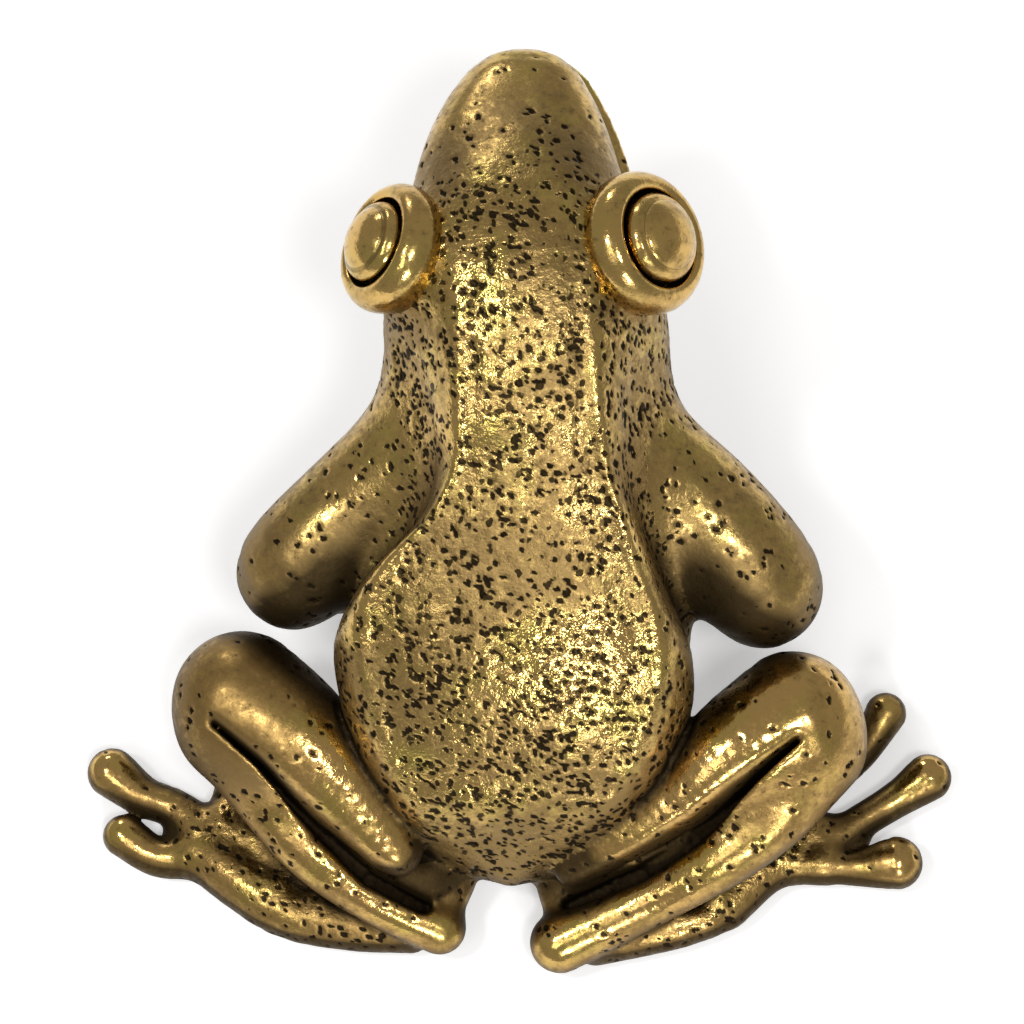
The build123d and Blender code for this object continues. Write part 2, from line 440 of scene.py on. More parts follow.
hindLegSpec = {  # mm: in from the knee's middle, behind it, height, radius
    "left": {
        "thigh": [(0, -0.25, 5.5, 2.62), (2.1, 1.22, 5.6, 2.28), (3.9, 2.85, 5.2, 1.75),
                  (5.8, 5, 4.4, 1.15)],
        "shin": [(-0.45, 1.05, 4.8, 1.52), (0.75, 2.85, 4.2, 1.2), (2.5, 4.75, 3.5, 1.12),
                 (5.1, 6.4, 2.4, 1), (7.45, 7.25, 1.5, 1)],
        "slot": [(-0.8, 1.2, 6.4, 0.07), (0.9, 2.5, 5.8, 0.12), (2.9, 4.3, 4.8, 0.18), (4.9, 5.9, 3.7, 0.3),
                 (6.9, 6.7, 2.5, 0.28)],
        "web": [(0.4, 2.2, 3.4, 1.3), (2.4, 3.9, 2.8, 1.3), (5, 5.5, 2.2, 1.2), (6.9, 5.4, 2.3, 1.1),
                (7.8, 5, 2, 1), (7.3, 6.7, 1.3, 0.9)],
    },
    "right": {
        "thigh": [(0, 0, 5.5, 2.5), (2.3, 1.5, 5.6, 1.95), (4.1, 3.1, 5.1, 1.4), (6, 4.5, 4.4, 1.05),
                  (8, 5.3, 3.5, 0.8)],
        "shin": [(-0.9, 1.2, 4.8, 1.65), (0.4, 3.1, 4.2, 1.35), (2.4, 4.7, 3.5, 1.2), (5, 6.1, 2.5, 1.05),
                 (8.55, 7.72, 1.5, 1.15)],
        "slot": [(-0.2, 1.4, 6.4, 0.1), (1.6, 2.8, 5.6, 0.18), (3.6, 4.3, 4.5, 0.28), (5.6, 5.4, 3.4, 0.34),
                 (8.3, 6.4, 2.4, 0.2)],
        "web": [(0.5, 2.2, 3.2, 1.3), (2.6, 3.6, 2.6, 1.3), (5.2, 5, 2, 1.2), (7.5, 5.3, 1.9, 1.1),
                (8.6, 4.7, 1.8, 1), (8.2, 6.8, 1.2, 0.9)],
    },
    "kneeBlend": (2, 0.22, 0.4),  # mm at the knee, less per mm away from it, never below
    "webBlend": 0.4,
    "slotBlend": 0.3,
    "slotDepth": 0.9,  # mm below the slot's line
}
slotChains = {}  # filled in by hindLeg, for the painted shade in the slots


def kneeOf(side):
    # how far out a knee's middle is, and its place along the frog
    outer, front, rear = reachOf(side + "_hind_leg", side)
    radius = hindLegSpec[side]["thigh"][0][3]
    return outer - radius, front + radius


def hindLeg(side):
    spec, shared = hindLegSpec[side], hindLegSpec
    kneeX, kneeY = kneeOf(side)

    def place(joint):
        inset, behind, height, radius = joint
        return sided(side, kneeX - inset, kneeY + behind, height, radius)

    chains = {key: [place(joint) for joint in spec[key]] for key in ("thigh", "shin", "slot", "web")}
    slotChains[side] = chains["slot"]
    fields = {key: limbField(chains[key]) for key in ("thigh", "shin", "web")}
    whole = spanOf(fields.values())
    grid = gridOf(whole)

    def spread(key):
        slices, field = fields[key]
        full = emptyField(whole)
        full[within(slices, whole)] = field
        return full

    most, fade, least = shared["kneeBlend"]
    knee = chains["thigh"][0]
    away = np.sqrt((grid[0] - knee[0]) ** 2 + (grid[1] - knee[1]) ** 2)
    leg = smoothMin(spread("thigh"), spread("shin"), np.clip(most - fade * away, least, most))
    leg = smoothMin(leg, spread("web"), shared["webBlend"])
    slot = None
    for start, end in zip(chains["slot"][:-1], chains["slot"][1:]):
        share, distance = alongLine(grid[:2], start[:2], end[:2])
        floor = between(start, end, 2, share) - shared["slotDepth"]
        part = np.maximum(distance - between(start, end, 3, share), floor - grid[2])
        slot = part if slot is None else np.minimum(slot, part)
    return whole, -smoothMin(-leg, slot, shared["slotBlend"]).astype(np.float32)  # the slot is cut out


hindFootSpec = {  # mm: in from the outermost toe, forward of the heel's rear, height, radius
    "left": {
        "sole": [(12.4, 0.85, 0.85, 0.9), (10.2, 0.98, 0.9, 1), (7.8, 1.42, 1, 1.05),
                 (5.6, 2.8, 1, 1.15), (4.3, 3.7, 0.9, 1.05)],
        "fill": [(5.2, 4.6, 0.8, 1.1), (7, 3.6, 0.9, 1.1), (8.9, 2.6, 0.9, 1.1)],
        "toes": [
            [(5.2, 5.2, 0.8, 0.8), (5.2, 6.8, 0.7, 0.6), (5.1, 8.1, 0.8, 0.8)],
            [(4.3, 4.6, 0.85, 0.8), (3.1, 5.4, 0.8, 0.75), (1.9, 5.85, 0.75, 0.78), (0.62, 6.72, 0.88, 0.96)],
            [(4.3, 3.5, 0.9, 0.85), (2.6, 3.45, 0.8, 0.75), (1.25, 4.25, 0.85, 0.82)],
        ],
        "web": [(5, 4.4, 0.6, 0.9), (4.2, 4.4, 0.6, 0.85), (3.4, 4.45, 0.5, 0.7)],
        "lumps": [(6.7, 1.75, 1, 0.7), (7.3, 1.25, 0.9, 0.55), (6.3, 2.3, 1.1, 0.6),
                  (8.2, 0.95, 0.9, 0.5), (7.3, 2.2, 1.5, 0.6), (8.9, 1.5, 1.4, 0.6)],
    },
    "right": {
        "sole": [(13.3, 0.85, 0.85, 0.9), (9.6, 1.8, 0.9, 0.87), (8.6, 2.25, 0.9, 0.85),
                 (6.6, 3.9, 0.85, 0.8), (4.9, 4.1, 0.85, 0.75)],
        "fill": [(5.4, 5.2, 0.7, 1), (7, 4.2, 0.8, 1), (9, 2.9, 0.8, 1)],
        "toes": [
            [(5.9, 6.5, 0.7, 0.7), (3.5, 8.4, 0.7, 0.55), (2.58, 10.1, 0.8, 0.8)],
            [(4.8, 4.9, 0.7, 0.7), (3, 6.12, 0.75, 0.66), (1.9, 6.85, 0.8, 0.72), (0.95, 7.55, 0.9, 0.9)],
            [(4.9, 4.1, 0.85, 0.72), (3.8, 3.95, 0.85, 0.66), (2.1, 4.15, 1, 1)],
        ],
        "web": [(5.6, 5.4, 0.5, 0.9), (4.6, 5.3, 0.5, 0.8), (3.7, 5.2, 0.45, 0.6)],
        "lumps": [(8.3, 2.1, 0.9, 0.45), (9.2, 1.8, 1.1, 0.5), (8.8, 2.6, 1.3, 0.6)],
    },
    "lumpDepth": 0.3,
    "blend": 0.35,
}


def hindFoot(side):
    place = fromRear(side + "_hind_foot", side)
    spec, shared = hindFootSpec[side], hindFootSpec
    chains = [spec["sole"], spec["fill"], spec["web"]] + spec["toes"]
    fields = [limbField([place(joint) for joint in chain]) for chain in chains]
    for lump in spec["lumps"]:
        x, y, z, radius = place(lump)
        fields.append(limbField([(x, y, z, radius), (x, y, z - shared["lumpDepth"], radius)]))
    return united(fields, shared["blend"])


limbs = {}
for side in sides:
    limbs[side + "_foreleg"] = foreleg(side)
    limbs[side + "_hind_leg"] = hindLeg(side)
    limbs[side + "_hind_foot"] = hindFoot(side)
print("limbs shaped")

blendSpec = {"foreleg": 1.7, "hind_leg": 0.35, "hind_foot": 0.25}  # mm, into the trunk


def kindOf(name):
    # a node's name without its side
    return name.split("_", 1)[-1]


def makeSkinField():
    field = trunk.copy()
    for name, (slices, limb) in limbs.items():
        field[slices] = smoothMin(field[slices], limb, blendSpec[kindOf(name)])
    return np.maximum(field, -fieldAxes[2][None, None, :])  # cut flat where it stands


def blurred(values, reach):
    # box blur along each axis, done twice
    for axis in [0, 1, 2] * 2:
        before = np.repeat(np.take(values, [0], axis), reach + 1, axis)
        behind = np.repeat(np.take(values, [-1], axis), reach, axis)
        total = np.cumsum(np.concatenate([before, values, behind], axis), axis)
        length, width = total.shape[axis], 2 * reach + 1
        ends = [np.take(total, span, axis) for span in (range(width, length), range(length - width))]
        values = (ends[0] - ends[1]) / width
    return values


def sample(values, at):
    # values of a grid at fractional cells
    base = np.clip(np.floor(at).astype(int), 0, np.array(values.shape) - 2)
    part = at - base
    result = 0
    for i, j, k in np.ndindex(2, 2, 2):
        weight = abs(1 - i - part[:, 0]) * abs(1 - j - part[:, 1]) * abs(1 - k - part[:, 2])
        result = result + weight * values[base[:, 0] + i, base[:, 1] + j, base[:, 2] + k]
    return result


# how sunk or proud the metal is: proud metal is rubbed bright, hollows get patina and painted shade
wearAndShadeSpec = {
    "near": 0.5,  # mm, reach over which the metal counts as sunk or proud
    "wide": 1.5,  # mm, the same for broad hollows
    "every": 2,  # every second sample is counted
}


def makeSkin():
    # cells of the skin's points, its faces, and how far each point is sunk (1) or proud (-1)
    field = makeSkinField()
    every = wearAndShadeSpec["every"]
    cell = every * step
    coarse = np.clip(0.5 - field[::every, ::every, ::every] / cell, 0, 1).astype(np.float32)
    filled = [blurred(coarse, max(1, round(wearAndShadeSpec[key] / cell))) for key in ("near", "wide")]
    vdb = openvdb.FloatGrid(1.0)
    vdb.copyFromArray(np.clip(field, -1, 1).astype(np.float32), tolerance=0.0)
    vdb.transform = openvdb.createLinearTransform(voxelSize=1.0)
    cells, _, quads = vdb.convertToPolygons(isovalue=0.0, adaptivity=0.0)
    cells, quads = cells.astype(np.float64), quads.astype(np.int64)
    a, b, c, d = (cells[quads[:, i]] for i in range(4))
    if np.einsum("ij,ij->i", a, np.cross(b, c) + np.cross(c, d)).sum() < 0:
        quads = quads[:, ::-1]
    return cells, quads, *[(sample(values, cells / every) - 0.5) * 2 for values in filled]


cells, quads, sunk, sunkWide = makeSkin()
print("skin of", len(quads), "faces")


def quadOwner():
    # frame node that each face belongs to
    middle = cells[quads].mean(1)
    names = ["body"] + list(limbs)
    best = sample(trunk, middle)
    owner = np.zeros(len(quads), dtype=int)
    for i, name in enumerate(names[1:], 1):
        slices, field = limbs[name]
        local = middle - [s.start for s in slices]
        inside = np.all((local >= 0) & (local < np.array(field.shape) - 1), 1)
        value = np.full(len(quads), fieldSpec["farAway"])
        value[inside] = sample(field, local[inside])
        owner[value < best] = i
        best = np.minimum(best, value)
    return names, owner


nodeNames, owner = quadOwner()
print("faces shared out to", len(nodeNames), "pieces")

brassSpec = {  # two hues of the bare metal, the olive of its tarnish and painted shade, the black in its pits and in painted shade, how much tarnish and painted shade it has
    "antique_brass": {
        "gold": (0.6, 0.4, 0.135), "green": (0.55, 0.42, 0.11), "olive": (0.28, 0.185, 0.068),
        "dark": (0.01, 0.007, 0.005), "tarnishAndShade": 0.85,
    },
    "rubbed_brass": {
        "gold": (0.63, 0.4, 0.135), "green": (0.57, 0.42, 0.11), "olive": (0.3, 0.19, 0.065),
        "dark": (0.011, 0.008, 0.006), "tarnishAndShade": 0.75,
    },
    "eye_brass": {
        "gold": (0.6, 0.39, 0.13), "green": (0.55, 0.4, 0.12), "olive": (0.3, 0.195, 0.07),
        "dark": (0.008, 0.006, 0.005), "tarnishAndShade": 0.75,
    },
}
noiseSpec = {  # size in mm, detail, roughness, distortion
    "cloud": (3.0, 5.0, 0.62, 0.4),  # broad clouds of tarnish
    "hue": (1.8, 3.0, 0.6),  # drifts between yellow and greenish brass
    "mottle": (0.32, 4.0, 0.7),  # fine blotches of tarnish
    "speck": (0.44, 3.0, 0.65),  # ripples that break up the highlights
    "grain": (0.14,),  # fine grain
}
finishSpec = {
    "warp": (0.25, 0.3),  # mm, how finely and how far the small pits are bent
    "pinSpacing": 0.36,  # mm between small pits
    "pinRarity": (0.985, 0.3),  # share of the cells without one, on smooth and on pitted metal
    "pinGrowth": 0.62,  # how large the largest grow
    "pinEdge": (-0.05, 0.07),  # how sharp their edge is
    "pinBlack": 0.92,
    "mostBlack": 0.95,
    "greenDrift": (0.46, 0.68),  # hue noise where the green begins and is in full
    "polished": 0.12,  # roughness of rubbed metal
    "dull": 0.42,  # roughness of tarnished metal
    "blackRough": 0.2,  # rougher by this in the pits
    "grainRough": (0.3, 0.7, -0.04, 0.06),
    "bumpHeight": 0.11,  # mm
    "bump": (0.1, 1.0, 0.1, 0.6),  # share of pits from and to, strength at each
    "grainBump": 0.2,
    "pinBump": 0.6,
}
# Tarnish lies in clouds and is rubbed off where the metal stands proud; where the metal is sunk or leans
# over, the olive is partly patina and partly painted shade. Each row adds some: value, from, to, amount at
# each.
tarnishAndShadeRamps = (
    ("cloud", (0.38, 0.64, 0.0, 1.0)),
    ("sunk", (-0.45, 0.25, -0.5, 0.5)),
    ("patinaAndShade", (0.2, 0.8, 0.0, 1.0)),
    ("patinaAndShade", (-0.5, 0.0, -1.0, 0.0)),
    ("mottle", (0.35, 0.65, -0.4, 0.4)),
)
# Black patina fills pits and fine specks; in creases, hollows and on leaning sides the black is partly patina
# and partly painted shade. The strongest row counts.
blackAndShadeRamps = (
    ("sunk", (0.1, 0.36, 0.0, 1.0)),
    ("sunkWide", (0.28, 0.56, 0.0, 1.0)),
    ("pit", (0.12, 0.4, 0.0, 1.0)),
    ("patinaAndShade", (0.6, 1.2, 0.0, 0.85)),
    ("mottle", (0.6, 0.72, 0.0, 0.55)),
)


class Tree:
    # shorthand for building a node tree
    def __init__(self, tree):
        self.tree = tree

    def add(self, kind, values=None, **settings):
        node = self.tree.nodes.new(kind)
        for key, value in settings.items():
            setattr(node, key, value)
        for key, value in (values or {}).items():
            self.feed(node.inputs[key], value)
        return node

    def feed(self, socket, value):
        if isinstance(value, bpy.types.NodeSocket):
            self.tree.links.new(value, socket)
        else:
            socket.default_value = value

    def math(self, operation, total, *others, clamp=False):
        # the values taken one after another
        for value in others:
            values = {0: total, 1: value}
            total = self.add("ShaderNodeMath", values, operation=operation, use_clamp=clamp).outputs[0]
        return total

    def vector(self, operation, *values):
        return self.add("ShaderNodeVectorMath", dict(enumerate(values)), operation=operation)

    def ramp(self, value, low, high, toLow=0.0, toHigh=1.0, kind="LINEAR"):
        limits = {"Value": value, "From Min": low, "From Max": high, "To Min": toLow, "To Max": toHigh}
        return self.add("ShaderNodeMapRange", limits, interpolation_type=kind).outputs[0]

    def noise(self, place, size, detail=2.0, rough=0.6, distortion=0.0):
        settings = {"Vector": place, "Scale": 1 / (size * mm), "Detail": detail}
        settings |= {"Roughness": rough, "Distortion": distortion}
        return self.add("ShaderNodeTexNoise", settings).outputs["Fac"]

    def mix(self, share, a, b):
        node = self.add("ShaderNodeMix", data_type="RGBA")
        for index, value in ((0, share), (6, a), (7, b)):
            self.feed(node.inputs[index], value)
        return node.outputs[2]

    def live(self, sockets, name):
        # the enabled socket of that name, on nodes that keep one for each data type
        return next(socket for socket in sockets if socket.name == name and socket.enabled)


def makeBrass(name):
    colours, look = brassSpec[name], finishSpec
    material = bpy.data.materials.new(name)
    material.use_nodes = True
    t = Tree(material.node_tree)
    shader = material.node_tree.nodes["Principled BSDF"]
    shader.inputs["Metallic"].default_value = 1.0
    place = t.add("ShaderNodeTexCoord").outputs["Object"]
    value = {}
    for key in ("pit", "pitShare", "sunk", "sunkWide", "patinaAndShade"):
        value[key] = t.add("ShaderNodeAttribute", attribute_name=key).outputs["Fac"]
    for key, noise in noiseSpec.items():
        value[key] = t.noise(place, *noise)
    # small pits: cells of a warped lattice, each with its own size, fewer where the metal is smooth
    size, reach = look["warp"]
    warp = {"Vector": place, "Scale": 1 / (size * mm), "Detail": 1.0}
    warp = t.add("ShaderNodeTexNoise", warp).outputs["Color"]
    shift = t.vector("SUBTRACT", warp, (0.5, 0.5, 0.5)).outputs[0]
    bent = t.vector("MULTIPLY_ADD", shift, (reach * mm,) * 3, place).outputs[0]
    lattice = t.add("ShaderNodeTexVoronoi", {"Vector": bent, "Scale": 1 / (look["pinSpacing"] * mm)})
    lot = t.add("ShaderNodeSeparateColor", {"Color": lattice.outputs["Color"]}).outputs[0]
    rarity = t.ramp(value["pitShare"], 0.0, 1.0, *look["pinRarity"])
    pinSize = t.math("MULTIPLY", t.math("SUBTRACT", lot, rarity), look["pinGrowth"])
    pin = t.ramp(t.math("SUBTRACT", pinSize, lattice.outputs["Distance"]), *look["pinEdge"])
    # tarnish, with painted shade where the metal is sunk or leans over, turns the metal olive
    tarnishAndShade = t.math("ADD", *(t.ramp(value[key], *ramp) for key, ramp in tarnishAndShadeRamps))
    tarnishAndShade = t.math("MULTIPLY", tarnishAndShade, colours["tarnishAndShade"], clamp=True)
    gold, green, olive, dark = ((*colours[key], 1) for key in ("gold", "green", "olive", "dark"))
    colour = t.mix(tarnishAndShade, t.mix(t.ramp(value["hue"], *look["greenDrift"]), gold, green), olive)
    # black of patina in pits and specks, with painted shade in creases, hollows and on leaning sides
    blackAndShade = [t.ramp(value[key], *ramp) for key, ramp in blackAndShadeRamps]
    blackAndShade = t.math("MAXIMUM", t.math("MULTIPLY", pin, look["pinBlack"]), *blackAndShade)
    blackAndShade = t.math("MULTIPLY", blackAndShade, look["mostBlack"], clamp=True)
    t.feed(shader.inputs["Base Color"], t.mix(blackAndShade, colour, dark))
    rough = t.ramp(tarnishAndShade, 0.0, 1.0, look["polished"], look["dull"])
    rough = t.math("ADD", rough, t.ramp(value["grain"], *look["grainRough"]))
    rough = t.math("ADD", rough, t.math("MULTIPLY", blackAndShade, look["blackRough"]), clamp=True)
    t.feed(shader.inputs["Roughness"], rough)
    relief = t.math("ADD", value["speck"], t.math("MULTIPLY", value["grain"], look["grainBump"]))
    relief = t.math("SUBTRACT", relief, t.math("MULTIPLY", pin, look["pinBump"]))
    strength = t.ramp(value["pitShare"], *look["bump"])
    bump = {"Strength": strength, "Distance": look["bumpHeight"] * mm, "Height": relief}
    t.feed(shader.inputs["Normal"], t.add("ShaderNodeBump", bump).outputs["Normal"])
    return material


brasses = {name: makeBrass(name) for name in brassSpec}
slotOf = {part["node"]: part["material_slot"] for part in frame["record"]["subparts"]}
print("brass mixed")


def meshOf(name, points, faces, attributes=None):
    # smooth mesh object from points in millimetres
    mesh = bpy.data.meshes.new(name)
    mesh.from_pydata((np.asarray(points) * mm).tolist(), [], faces)
    for key, values in (attributes or {}).items():
        attribute = mesh.attributes.new(key, "FLOAT", "POINT")
        attribute.data.foreach_set("value", np.asarray(values, dtype=np.float32))
    mesh.shade_smooth()
    thing = bpy.data.objects.new(name, mesh)
    bpy.context.scene.collection.objects.link(thing)
    return thing


pitSpec = {  # named inputs of the tree
    "Pits per square metre": 6.4 / mm ** 2,
    "Smallest radius": 0.07 * mm,
    "Largest radius": 0.16 * mm,
    "Depth": 0.55,  # share of the radius
    "Swell": 0.07 * mm,  # unevenness of the cast skin
    "Flutter": 0.018 * mm,  # fine unevenness
    "Seed": 7,
}
pitForm = {  # noises: size in mm, detail, roughness
    "crowd": (2.2, 2.0),
    "crowding": (0.38, 0.62, 0.35, 1.5),  # thin and thick patches of pits
    "rag": (0.15, 1.0),
    "raggedness": (0.3, 0.7, 0.3, 1.6),  # share of the radius that a pit's edge wanders over
    "edge": (0.3, 1.0, 1.0, 0.0),  # shares of that edge where the floor and the wall end
    "swell": (0.8, 2.0, 0.5),
    "flutter": (0.27, 1.0),
    "everywhere": 0.25,  # unevenness where there are no pits
}
pitShares = {"body": 1.0, "foreleg": 0.32, "hind_leg": 0.35, "hind_foot": 0.8}
smoothSpec = {
    "snout": (2.0, 7.0, 0.06),  # mm from its tip, where pits begin and are in full; least share
    "knee": (0.6, 3.6, 0.04),  # mm from its middle, the same way
    "sunk": (1.3, 1.8, 0.12, 1.25),  # share on level metal, more where it is sunk, least and most
}


def pitTree():
    # geometry nodes that scatter pits over a skin and press them in
    tree = bpy.data.node_groups.new("castingPits", "GeometryNodeTree")
    face = tree.interface
    face.new_socket("Geometry", in_out="INPUT", socket_type="NodeSocketGeometry")
    for label in pitSpec:
        kind = "NodeSocketInt" if label == "Seed" else "NodeSocketFloat"
        face.new_socket(label, in_out="INPUT", socket_type=kind)
    face.new_socket("Geometry", in_out="OUTPUT", socket_type="NodeSocketGeometry")
    t = Tree(tree)
    given = t.add("NodeGroupInput").outputs
    skin = given["Geometry"]
    reading = t.add("GeometryNodeInputNamedAttribute", {"Name": "pitShare"}, data_type="FLOAT")
    share = reading.outputs["Attribute"]
    here = t.add("GeometryNodeInputPosition").outputs[0]
    crowding = t.ramp(t.noise(here, *pitForm["crowd"]), *pitForm["crowding"])
    density = t.math("MULTIPLY", share, crowding, given["Pits per square metre"])
    scatter = {"Mesh": skin, "Density": density, "Seed": given["Seed"]}
    scatter = t.add("GeometryNodeDistributePointsOnFaces", scatter, distribute_method="RANDOM")
    scattered = scatter.outputs["Points"]
    nearest = t.add("GeometryNodeSampleNearest", {"Geometry": scattered}, domain="POINT").outputs["Index"]

    def ofNearest(value, kind):
        source = {"Geometry": scattered, "Index": nearest}
        node = t.add("GeometryNodeSampleIndex", source, data_type=kind, domain="POINT")
        t.feed(t.live(node.inputs, "Value"), value)
        return t.live(node.outputs, "Value")

    limits = {2: given["Smallest radius"], 3: given["Largest radius"], 8: given["Seed"]}
    size = t.add("FunctionNodeRandomValue", limits, data_type="FLOAT").outputs[1]
    radius = ofNearest(size, "FLOAT")
    apart = t.vector("DISTANCE", here, ofNearest(here, "FLOAT_VECTOR")).outputs["Value"]
    edge = t.math("MULTIPLY", radius, t.ramp(t.noise(here, *pitForm["rag"]), *pitForm["raggedness"]))
    hollow = t.ramp(t.math("DIVIDE", apart, edge), *pitForm["edge"], "SMOOTHSTEP")
    sink = t.math("MULTIPLY", hollow, radius, given["Depth"])
    waves = [t.math("SUBTRACT", t.noise(here, *pitForm[key]), 0.5) for key in ("swell", "flutter")]
    waves = [t.math("MULTIPLY", wave, given[key]) for wave, key in zip(waves, ("Swell", "Flutter"))]
    rise = t.math("MULTIPLY", t.math("ADD", *waves), t.math("ADD", share, pitForm["everywhere"]))
    offset = t.vector("SCALE", t.add("GeometryNodeInputNormal").outputs[0])
    t.feed(offset.inputs["Scale"], t.math("SUBTRACT", rise, sink))
    marking = {"Geometry": skin, "Name": "pit"}
    marked = t.add("GeometryNodeStoreNamedAttribute", marking, data_type="FLOAT", domain="POINT")
    t.feed(t.live(marked.inputs, "Value"), hollow)
    done = t.add("GeometryNodeSetPosition", {"Geometry": marked.outputs[0], "Offset": offset.outputs[0]})
    done = t.add("GeometryNodeRealizeInstances", {"Geometry": done.outputs[0]})
    brass = brasses["antique_brass"]
    done = t.add("GeometryNodeSetMaterial", {"Geometry": done.outputs[0], "Material": brass})
    t.add("NodeGroupOutput", {"Geometry": done.outputs[0]})
    return tree


def readSkin(mesh, keys):
    # points in millimetres, normals and attributes of a mesh
    count = len(mesh.vertices)
    points, normals = np.empty(count * 3), np.empty(count * 3)
    mesh.vertices.foreach_get("co", points)
    mesh.vertices.foreach_get("normal", normals)
    values = {key: np.empty(count, dtype=np.float32) for key in keys}
    for key in keys:
        mesh.attributes[key].data.foreach_get("value", values[key])
    return points.reshape(-1, 3) / mm, normals.reshape(-1, 3), values


def ownerOfPoints():
    found = np.zeros(len(cells), dtype=int)
    for corner in range(4):
        found[quads[:, corner]] = owner
    return found


def pitShareOf(points):
    # how thickly the pits lie on each point of the skin
    ownerOfPoint = ownerOfPoints()
    shares = np.array([pitShares[kindOf(name)] for name in nodeNames])[ownerOfPoint]
    shares = shares * ramped(points[:, 1] - snoutY, *smoothSpec["snout"])
    for side in sides:
        knee = sided(side, *kneeOf(side), 0, 0)
        away = np.hypot(points[:, 0] - knee[0], points[:, 1] - knee[1])
        onLeg = ownerOfPoint == nodeNames.index(side + "_hind_leg")
        shares = np.where(onLeg, shares * ramped(away, *smoothSpec["knee"]), shares)
    level, more, least, most = smoothSpec["sunk"]
    return shares * np.clip(level + more * sunkWide, least, most)


# patina and painted shade: olive and black laid on leaning metal, shaded limb sides, low on the feet, in the
# slots and in given places
patinaAndShadeSpec = {
    "snoutLean": (6.0, 11.0, 0.45),  # mm behind the snout where a lean counts more and in full; share before
    "shaded": {  # painted shade on the shaded side of a limb: strength, that side outwards and rearwards, start
        "foreleg": (1.5, -0.6, 0.85, 0.2),
        "hind_leg": (1.3, -0.7, -0.7, 0.25),
    },
    "footLow": (1.6, 0.6, 1.3),  # and low on the feet: height in mm, its fade in mm, strength
    "slotBlack": (0.0, 0.6, 0.5, 1.5),  # painted shade inside a leg's slot: mm down and its fade, mm sideways, strength
    "dull": {  # duller, tarnished places, polished below 0, the two strongest on the hind legs being painted shade in deep hollows: place in the node's box, reach in mm, strength
        "left_hind_leg": [((0.76, 0.22, 0.8), 4.4, 0.62), ((0.1, 0.76, 0.4), 2.2, 1.7)],
        "right_hind_leg": [((0.9, 0.7, 0.38), 2.3, 1.7), ((0.35, 0.34, 0.95), 3.2, -0.6)],
        "left_foreleg": [((0.7, 0.8, 0.6), 5.0, 0.35)],
        "right_foreleg": [((0.28, 0.8, 0.6), 4.5, 0.22)],
        "body": [
            ((0.5, 0.17, 0.93), 5.0, 0.42), ((0.69, 0.19, 0.93), 2.0, 0.4), ((0.33, 0.19, 0.93), 2.0, 0.4),
            ((0.52, 0.63, 0.72), 4.2, 0.5), ((0.36, 0.36, 0.9), 2.2, 0.5), ((0.36, 0.46, 0.85), 2.2, 0.5),
            ((0.59, 0.37, 0.9), 2.4, -0.6), ((0.61, 0.48, 0.87), 2.4, -0.6), ((0.32, 0.79, 0.62), 3.0, -0.7),
            ((0.67, 0.92, 0.38), 2.4, -0.5),
        ],
        "left_hind_foot": [((0.45, 0.4, 0.5), 9.0, 0.5)],
        "right_hind_foot": [((0.55, 0.4, 0.5), 9.0, 0.28)],
    },
}


def patinaAndShadeOf(points, normals):
    # how thick the patina and painted shade are: both gather where the metal leans over, painted shade lies
    # on the shaded sides of limbs and in the slots, the feet are darker low down, and given places are duller
    # or polished
    spec, ownerOfPoint = patinaAndShadeSpec, ownerOfPoints()
    begins, full, share = spec["snoutLean"]
    # patina and painted shade where the metal leans over, less near the snout
    patinaAndShade = (1 - normals[:, 2]) * (share + (1 - share) * ramped(points[:, 1] - snoutY, begins, full))

    def onLimb(kind):
        return np.isin(ownerOfPoint, [nodeNames.index(side + "_" + kind) for side in sides])

    # painted shade on the shaded side of each limb
    for kind, (strength, outwards, rearwards, start) in spec["shaded"].items():
        facing = normals[:, 0] * np.sign(points[:, 0]) * outwards + normals[:, 1] * rearwards
        patinaAndShade = patinaAndShade + onLimb(kind) * strength * np.clip(facing - start, 0, 1)
    # darker low on the feet
    height, fade, strength = spec["footLow"]
    patinaAndShade = patinaAndShade + onLimb("hind_foot") * strength * np.clip((height - points[:, 2]) / fade, 0, 1)
    # painted shade deep inside each leg's slot
    down, fade, sideways, strength = spec["slotBlack"]
    for chain in slotChains.values():
        for start, end in zip(chain[:-1], chain[1:]):
            share, distance = alongLine(points[:, :2].T, start[:2], end[:2])
            deep = np.clip((between(start, end, 2, share) - down - points[:, 2]) / fade, 0, 1)
            beside = np.clip((between(start, end, 3, share) + sideways - distance) / sideways, 0, 1)
            patinaAndShade = np.maximum(patinaAndShade, strength * deep * np.minimum(2 * beside, 1))
    # duller and polished places; the strongest are painted shade in deep hollows
    for node, places in spec["dull"].items():
        low, high = corners(node)
        onNode = ownerOfPoint == nodeNames.index(node)
        for shares, reach, strength in places:
            apart = np.linalg.norm(points - (low + (high - low) * shares), axis=1) / reach
            patinaAndShade = patinaAndShade + strength * onNode * np.clip(1 - apart * apart, 0, 1)
    return patinaAndShade


def pitSkin():
    points = cells * step + fieldLow
    values = {"pitShare": pitShareOf(points), "sunk": sunk, "sunkWide": sunkWide}
    skin = meshOf("castSkin", points, quads.tolist(), values)
    tree = pitTree()
    modifier = skin.modifiers.new("castingPits", "NODES")
    modifier.node_group = tree
    for item in tree.interface.items_tree:
        if item.in_out == "INPUT" and item.name in pitSpec:
            modifier[item.identifier] = pitSpec[item.name]
    pitted = bpy.data.meshes.new_from_object(skin.evaluated_get(bpy.context.evaluated_depsgraph_get()))
    patinaAndShade = patinaAndShadeOf(points, readSkin(skin.data, [])[1])
    skin.modifiers.clear()
    bpy.data.objects.remove(skin)
    return *readSkin(pitted, ["pit", *values]), patinaAndShade


skinPoints, skinNormals, skinValues, skinValues["patinaAndShade"] = pitSkin()
print("pits pressed in")


